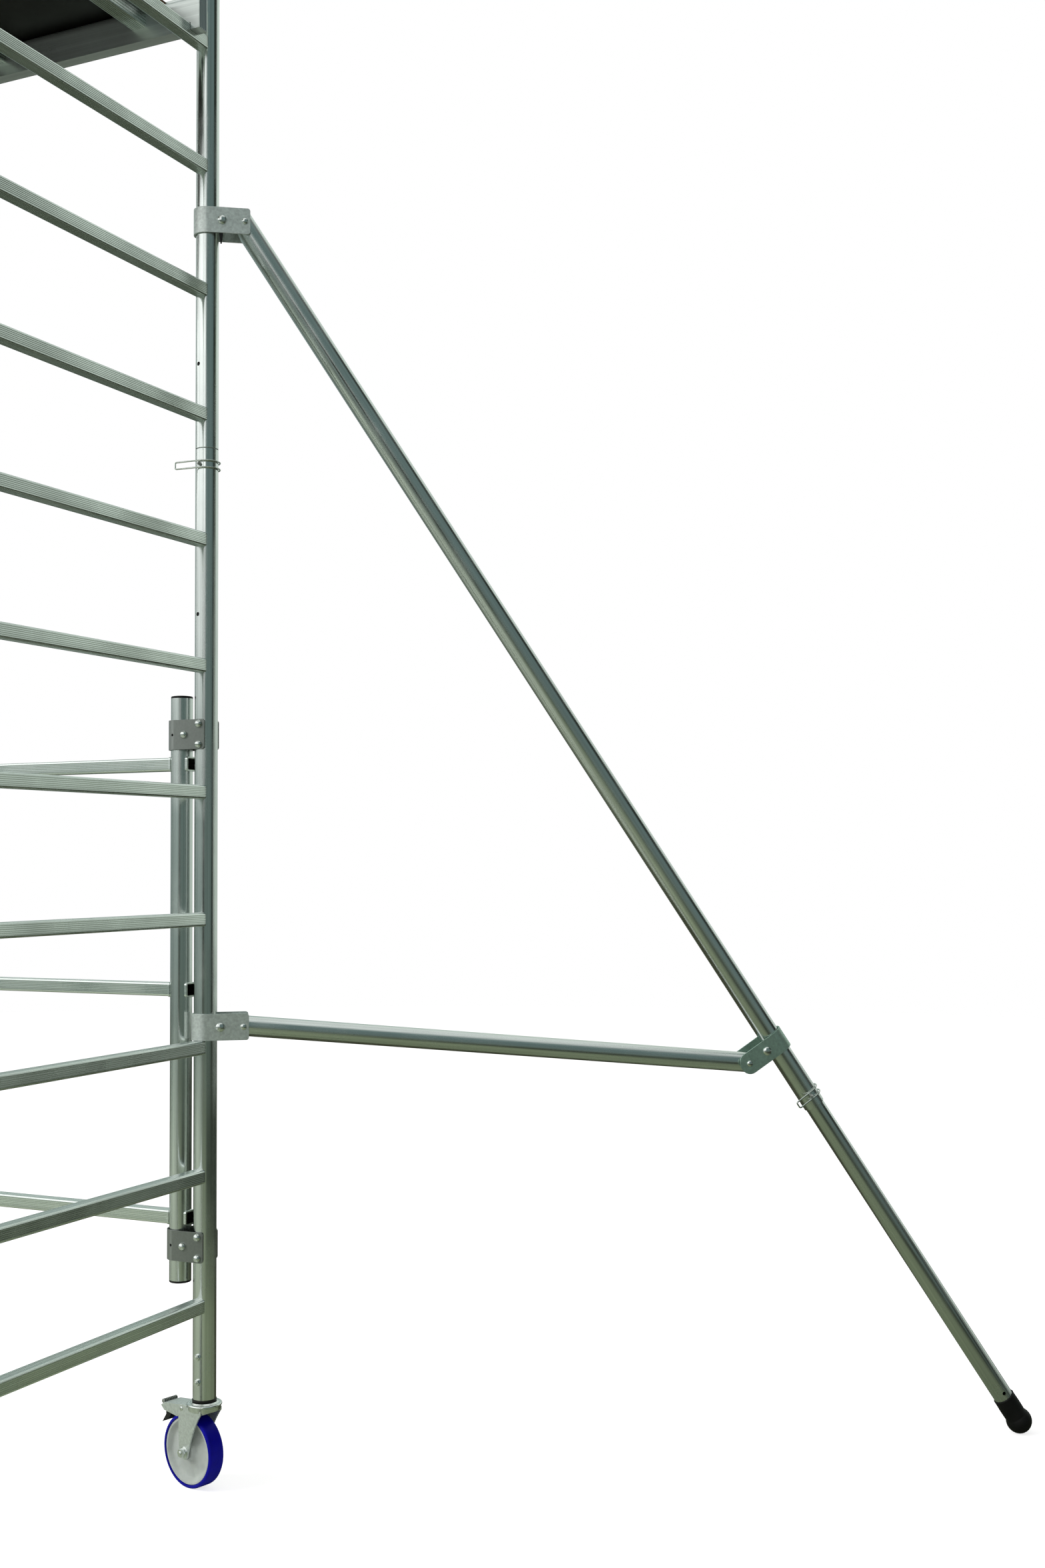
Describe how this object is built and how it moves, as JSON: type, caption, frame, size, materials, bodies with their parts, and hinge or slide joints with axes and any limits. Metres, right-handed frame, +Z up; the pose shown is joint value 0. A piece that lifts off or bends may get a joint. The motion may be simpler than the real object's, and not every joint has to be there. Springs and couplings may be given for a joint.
{
  "type": "mobile tower scaffold",
  "caption": "Narrow aluminium mobile scaffold tower with a folding base, ladder frames, hatch platform, guard rails, braked castors and telescopic stabilisers.",
  "frame": {"origin": "on the ground, in the middle of the footprint", "axes": "+X along the bay, +Y across it towards the stabilisers, +Z up"},
  "size_m": [5.031, 1.8854, 4.244],
  "materials": {
    "aluminium": "polished extruded tube with fine long die lines",
    "zinc": "pale zinc plate with a fine spangle",
    "green_zinc": "green passivated zinc plate",
    "wire": "bright zinc-plated spring wire",
    "black": "black moulded plastic",
    "rubber": "matt black rubber",
    "blue": "blue elastic tyre, satin",
    "core": "light grey moulded core",
    "deck": "dark film-faced plywood"
  },
  "bodies": {
    "tower": {"base_frame_right": "aluminium", "upper_frame_right": "aluminium", "base_frame_left": "aluminium", "upper_frame_left": "aluminium", "side_gate": "aluminium", "hinge_strap_right_lower": "zinc", "hinge_strap_right_upper": "zinc", "post_cap_right_top": "black", "post_cap_right_bottom": "black", "hinge_strap_left_lower": "zinc", "hinge_strap_left_upper": "zinc", "post_cap_left_top": "black", "post_cap_left_bottom": "black", "platform_frame": "aluminium", "deck_panel": "deck", "guard_rail_far": "aluminium", "guard_rail_near": "aluminium", "castor_far_right_stem": "black", "castor_far_left_stem": "black", "castor_near_right_stem": "black", "castor_near_left_stem": "black"},
    "hatch": {"hatch_panel": "deck"},
    "platform_latch_right": {"platform_latch_right": "zinc"},
    "platform_latch_left": {"platform_latch_left": "zinc"},
    "castor_far_right_swivel": {"castor_far_right_fork": "zinc"},
    "castor_far_right_wheel": {"castor_far_right_wheel_core": "core", "castor_far_right_tyre": "blue"},
    "castor_far_right_pedal": {"castor_far_right_brake_pedal": "zinc"},
    "castor_far_left_swivel": {"castor_far_left_fork": "zinc"},
    "castor_far_left_wheel": {"castor_far_left_wheel_core": "core", "castor_far_left_tyre": "blue"},
    "castor_far_left_pedal": {"castor_far_left_brake_pedal": "zinc"},
    "castor_near_right_swivel": {"castor_near_right_fork": "zinc"},
    "castor_near_right_wheel": {"castor_near_right_wheel_core": "core", "castor_near_right_tyre": "blue"},
    "castor_near_right_pedal": {"castor_near_right_brake_pedal": "zinc"},
    "castor_near_left_swivel": {"castor_near_left_fork": "zinc"},
    "castor_near_left_wheel": {"castor_near_left_wheel_core": "core", "castor_near_left_tyre": "blue"},
    "castor_near_left_pedal": {"castor_near_left_brake_pedal": "zinc"},
    "stabiliser_right": {"stabiliser_right_leg_tube": "aluminium", "stabiliser_right_brace_tube": "aluminium", "stabiliser_right_top_strap": "zinc", "stabiliser_right_bottom_strap": "zinc", "stabiliser_right_slider_strap": "green_zinc"},
    "stabiliser_right_extension": {"stabiliser_right_leg_extension": "aluminium", "stabiliser_right_foot": "rubber"},
    "stabiliser_right_lock_bow": {"stabiliser_right_lock_bow": "wire"},
    "stabiliser_left": {"stabiliser_left_leg_tube": "aluminium", "stabiliser_left_brace_tube": "aluminium", "stabiliser_left_top_strap": "zinc", "stabiliser_left_bottom_strap": "zinc", "stabiliser_left_slider_strap": "green_zinc"},
    "stabiliser_left_extension": {"stabiliser_left_leg_extension": "aluminium", "stabiliser_left_foot": "rubber"},
    "stabiliser_left_lock_bow": {"stabiliser_left_lock_bow": "wire"},
    "frame_lock_bow_far_right": {"frame_lock_bow_far_right": "wire"},
    "frame_lock_bow_far_left": {"frame_lock_bow_far_left": "wire"},
    "frame_lock_bow_near_right": {"frame_lock_bow_near_right": "wire"},
    "frame_lock_bow_near_left": {"frame_lock_bow_near_left": "wire"}
  },
  "joints": [
    {"name": "hatch_hinge", "type": "hinge", "parent": "tower", "child": "hatch", "pos_m": [-0.35, -0.29724, 3.29], "axis": [-1, 0, 0], "range_deg": [0, 95]},
    {"name": "platform_latch_right_swing", "type": "hinge", "parent": "tower", "child": "platform_latch_right", "pos_m": [0.878, -0.81395, 3.23], "axis": [0, 1, 0], "range_deg": [0, 70]},
    {"name": "platform_latch_left_swing", "type": "hinge", "parent": "tower", "child": "platform_latch_left", "pos_m": [-0.878, -0.81395, 3.23], "axis": [0, -1, 0], "range_deg": [0, 70]},
    {"name": "castor_far_right_swivel", "type": "hinge", "parent": "tower", "child": "castor_far_right_swivel", "pos_m": [0.925, -0.18424, 0], "axis": [0, 0, 1], "continuous": true},
    {"name": "castor_far_right_roll", "type": "hinge", "parent": "castor_far_right_swivel", "child": "castor_far_right_wheel", "pos_m": [0.89023, -0.17493, 0.08], "axis": [0.2588, 0.9659, 0], "continuous": true},
    {"name": "castor_far_right_brake", "type": "hinge", "parent": "castor_far_right_swivel", "child": "castor_far_right_pedal", "pos_m": [0.88202, -0.17273, 0.172], "axis": [0.2588, 0.9659, 0], "range_deg": [-10, 0]},
    {"name": "castor_far_left_swivel", "type": "hinge", "parent": "tower", "child": "castor_far_left_swivel", "pos_m": [-0.925, -0.18424, 0], "axis": [0, 0, 1], "continuous": true},
    {"name": "castor_far_left_roll", "type": "hinge", "parent": "castor_far_left_swivel", "child": "castor_far_left_wheel", "pos_m": [-0.95977, -0.17493, 0.08], "axis": [0.2588, 0.9659, 0], "continuous": true},
    {"name": "castor_far_left_brake", "type": "hinge", "parent": "castor_far_left_swivel", "child": "castor_far_left_pedal", "pos_m": [-0.96798, -0.17273, 0.172], "axis": [0.2588, 0.9659, 0], "range_deg": [-10, 0]},
    {"name": "castor_near_right_swivel", "type": "hinge", "parent": "tower", "child": "castor_near_right_swivel", "pos_m": [0.925, -0.90424, 0], "axis": [0, 0, 1], "continuous": true},
    {"name": "castor_near_right_roll", "type": "hinge", "parent": "castor_near_right_swivel", "child": "castor_near_right_wheel", "pos_m": [0.89023, -0.89493, 0.08], "axis": [0.2588, 0.9659, 0], "continuous": true},
    {"name": "castor_near_right_brake", "type": "hinge", "parent": "castor_near_right_swivel", "child": "castor_near_right_pedal", "pos_m": [0.88202, -0.89273, 0.172], "axis": [0.2588, 0.9659, 0], "range_deg": [-10, 0]},
    {"name": "castor_near_left_swivel", "type": "hinge", "parent": "tower", "child": "castor_near_left_swivel", "pos_m": [-0.925, -0.90424, 0], "axis": [0, 0, 1], "continuous": true},
    {"name": "castor_near_left_roll", "type": "hinge", "parent": "castor_near_left_swivel", "child": "castor_near_left_wheel", "pos_m": [-0.95977, -0.89493, 0.08], "axis": [0.2588, 0.9659, 0], "continuous": true},
    {"name": "castor_near_left_brake", "type": "hinge", "parent": "castor_near_left_swivel", "child": "castor_near_left_pedal", "pos_m": [-0.96798, -0.89273, 0.172], "axis": [0.2588, 0.9659, 0], "range_deg": [-10, 0]},
    {"name": "stabiliser_right_swing", "type": "hinge", "parent": "tower", "child": "stabiliser_right", "pos_m": [0.925, -0.18424, 0], "axis": [0, 0, 1], "range_deg": [-35, 50]},
    {"name": "stabiliser_right_slide", "type": "slide", "parent": "stabiliser_right", "child": "stabiliser_right_extension", "axis": [0.4505, 0.3166, -0.8348], "range_m": [-0.6, 0.25]},
    {"name": "stabiliser_right_lock_bow_swing", "type": "hinge", "parent": "stabiliser_right", "child": "stabiliser_right_lock_bow", "pos_m": [2.04356, 0.63819, 0.81695], "axis": [-0.4505, -0.3166, 0.8348], "range_deg": [0, 120]},
    {"name": "stabiliser_left_swing", "type": "hinge", "parent": "tower", "child": "stabiliser_left", "pos_m": [-0.925, -0.18424, 0], "axis": [0, 0, -1], "range_deg": [-35, 50]},
    {"name": "stabiliser_left_slide", "type": "slide", "parent": "stabiliser_left", "child": "stabiliser_left_extension", "axis": [-0.4505, 0.3166, -0.8348], "range_m": [-0.6, 0.25]},
    {"name": "stabiliser_left_lock_bow_swing", "type": "hinge", "parent": "stabiliser_left", "child": "stabiliser_left_lock_bow", "pos_m": [-2.04356, 0.63819, 0.81695], "axis": [-0.4505, 0.3166, -0.8348], "range_deg": [0, 120]},
    {"name": "frame_lock_bow_far_right_swing", "type": "hinge", "parent": "tower", "child": "frame_lock_bow_far_right", "pos_m": [0.925, -0.15454, 2.248], "axis": [0, 0, 1], "range_deg": [0, 120]},
    {"name": "frame_lock_bow_far_left_swing", "type": "hinge", "parent": "tower", "child": "frame_lock_bow_far_left", "pos_m": [-0.925, -0.15454, 2.248], "axis": [0, 0, -1], "range_deg": [0, 120]},
    {"name": "frame_lock_bow_near_right_swing", "type": "hinge", "parent": "tower", "child": "frame_lock_bow_near_right", "pos_m": [0.925, -0.93395, 2.248], "axis": [0, 0, -1], "range_deg": [0, 120]},
    {"name": "frame_lock_bow_near_left_swing", "type": "hinge", "parent": "tower", "child": "frame_lock_bow_near_left", "pos_m": [-0.925, -0.93395, 2.248], "axis": [0, 0, 1], "range_deg": [0, 120]}
  ]
}
